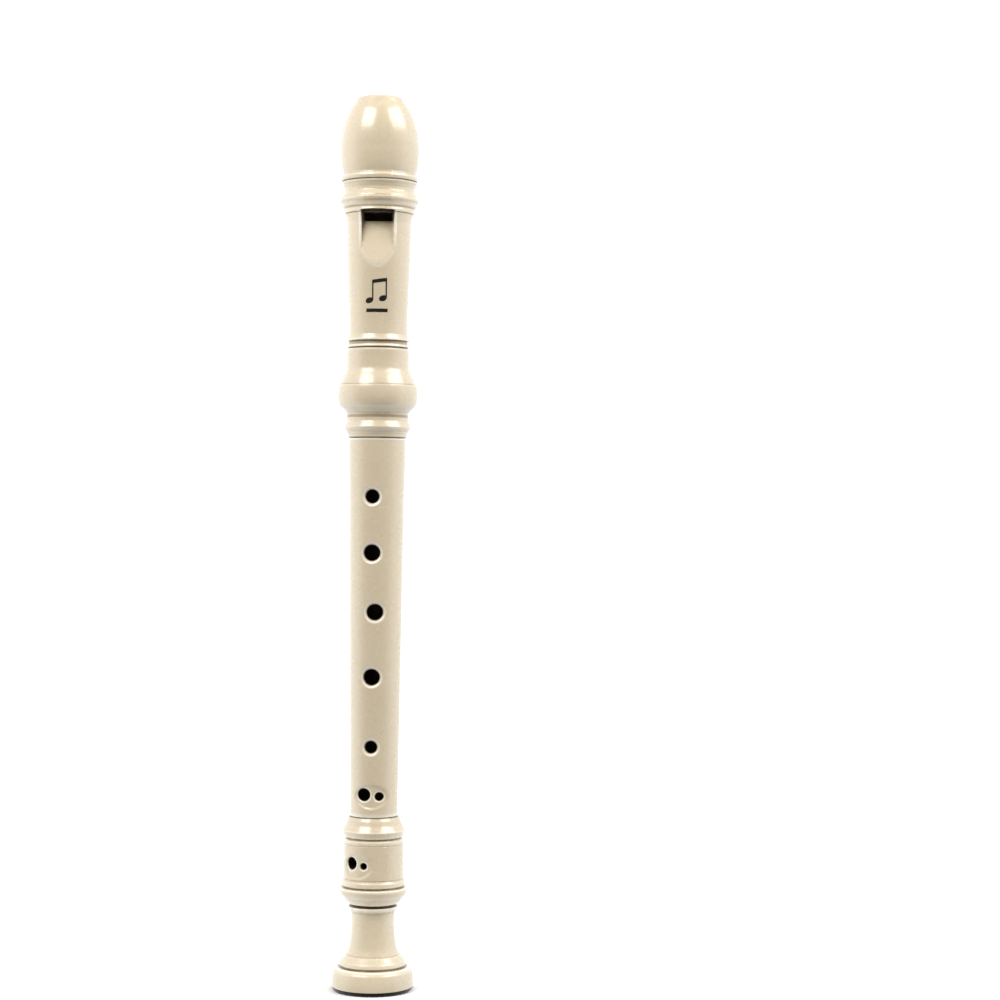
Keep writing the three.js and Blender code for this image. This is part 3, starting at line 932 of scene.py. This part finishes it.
# ---------------------------------------------------------------- camera, light, floor

LENS = 83.2
SENSOR = 36
CAMERA_PLACE = (0.0457, -0.857, 0.1817)
CAMERA_ROLL = math.radians(-0.53)
SOFTBOX_LIFT = 42
SOFTBOX_DISTANCE = 1.2
BOUNCE_SIZE = (0.14, 0.07)
BOUNCE_PLACE = (0.005, -0.052, 0.0004)
FLOOR_SIDE = 6.0
FLOOR_DROP = 0.0001


def add_camera():
    data = bpy.data.cameras.new("camera")
    data.lens = LENS
    data.sensor_width = SENSOR
    camera = bpy.data.objects.new("camera", data)
    camera.location = CAMERA_PLACE
    camera.rotation_euler = (math.pi / 2, CAMERA_ROLL, 0)
    bpy.context.scene.collection.objects.link(camera)
    bpy.context.scene.camera = camera


def add_softbox(name, turn, size, power):
    """An area light that faces the middle of the recorder from above, from a turn in degrees."""
    out, _ = direction(turn)
    lift = math.radians(SOFTBOX_LIFT)
    data = bpy.data.lights.new(name, "AREA")
    data.shape, data.size, data.size_y, data.energy = "RECTANGLE", *size, power
    data.color = (1, 0.97, 0.925)
    light = bpy.data.objects.new(name, data)
    flat = SOFTBOX_DISTANCE * math.cos(lift)
    middle = Vector((0, 0, TIP * MM / 2))
    light.location = middle + Vector((out[0] * flat, out[1] * flat, SOFTBOX_DISTANCE * math.sin(lift)))
    light.rotation_euler = (middle - light.location).to_track_quat("-Z", "Y").to_euler()
    bpy.context.scene.collection.objects.link(light)


def add_floor_bounce():
    """Light that the paper in front of the recorder throws back up, strongest on the foot."""
    data = bpy.data.lights.new("floor_bounce", "AREA")
    data.shape, data.size, data.size_y, data.energy = "RECTANGLE", *BOUNCE_SIZE, 0.02
    light = bpy.data.objects.new("floor_bounce", data)
    light.location = BOUNCE_PLACE
    light.rotation_euler = (math.pi, 0, 0)
    light.visible_camera = light.visible_glossy = False
    bpy.context.scene.collection.objects.link(light)


def add_world():
    """White surroundings, dimmer on the side that the window faces."""
    world = bpy.data.worlds.new("studio")
    bpy.context.scene.world = world
    world.use_nodes = True
    tree = world.node_tree
    background = tree.nodes["Background"]
    split = tree.nodes.new("ShaderNodeSeparateXYZ")
    tree.links.new(coordinates(tree, "Generated"), split.inputs["Vector"])

    # each fade: the direction's axis, where it starts and ends, and the light at both ends
    fades = [
        ("Y", -0.8, -0.05, 0.17, 1.5), ("Y", 0.1, 0.8, 1.0, 0.95),
        ("Z", -0.7, 0.0, 1.05, 1.0), ("Z", 0.3, 0.9, 1.0, 0.5),
        ("X", -0.3, 0.4, 1.0, 0.85),
    ]
    parts = [remap(tree, split.outputs[axis], *ends, "SMOOTHSTEP") for axis, *ends in fades]
    lit = parts[0]
    for part in parts[1:]:
        lit = combine(tree, "MULTIPLY", lit, part)
    seen = tree.nodes.new("ShaderNodeLightPath")
    strength = combine(tree, "MAXIMUM", seen.outputs["Is Camera Ray"], lit)
    background.inputs["Color"].default_value = (0.94, 0.965, 1, 1)
    tree.links.new(strength, background.inputs["Strength"])


def add_floor(material):
    mesh = bpy.data.meshes.new("floor")
    corners = [(-FLOOR_SIDE, -FLOOR_SIDE, 0), (FLOOR_SIDE, -FLOOR_SIDE, 0),
               (FLOOR_SIDE, FLOOR_SIDE, 0), (-FLOOR_SIDE, FLOOR_SIDE, 0)]
    mesh.from_pydata(corners, [], [(0, 1, 2, 3)])
    floor = bpy.data.objects.new("floor", mesh)
    floor.location.z = -FLOOR_DROP
    floor.visible_diffuse = floor.visible_glossy = False
    bpy.context.scene.collection.objects.link(floor)
    mesh.materials.append(material)


# ---------------------------------------------------------------- the scene

add_camera()
ivory = ivory_plastic()
for piece, node in (
    (beak_cap(ivory), "beak_cap"),
    (windway_block(ivory), "windway_block"),
    (head_tube(ivory), "head_tube"),
    (middle_joint(ivory), "middle_joint"),
    (foot_joint(ivory), "foot_joint"),
):
    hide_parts(node)
printed_mark(print_ink())

add_floor(plain_floor())
add_world()
add_softbox("left_softbox", -40, (0.75, 0.5), 11.0)
add_softbox("right_softbox", 69, (0.9, 0.5), 10.8)
add_floor_bounce()
bpy.context.scene.view_settings.view_transform = "Standard"
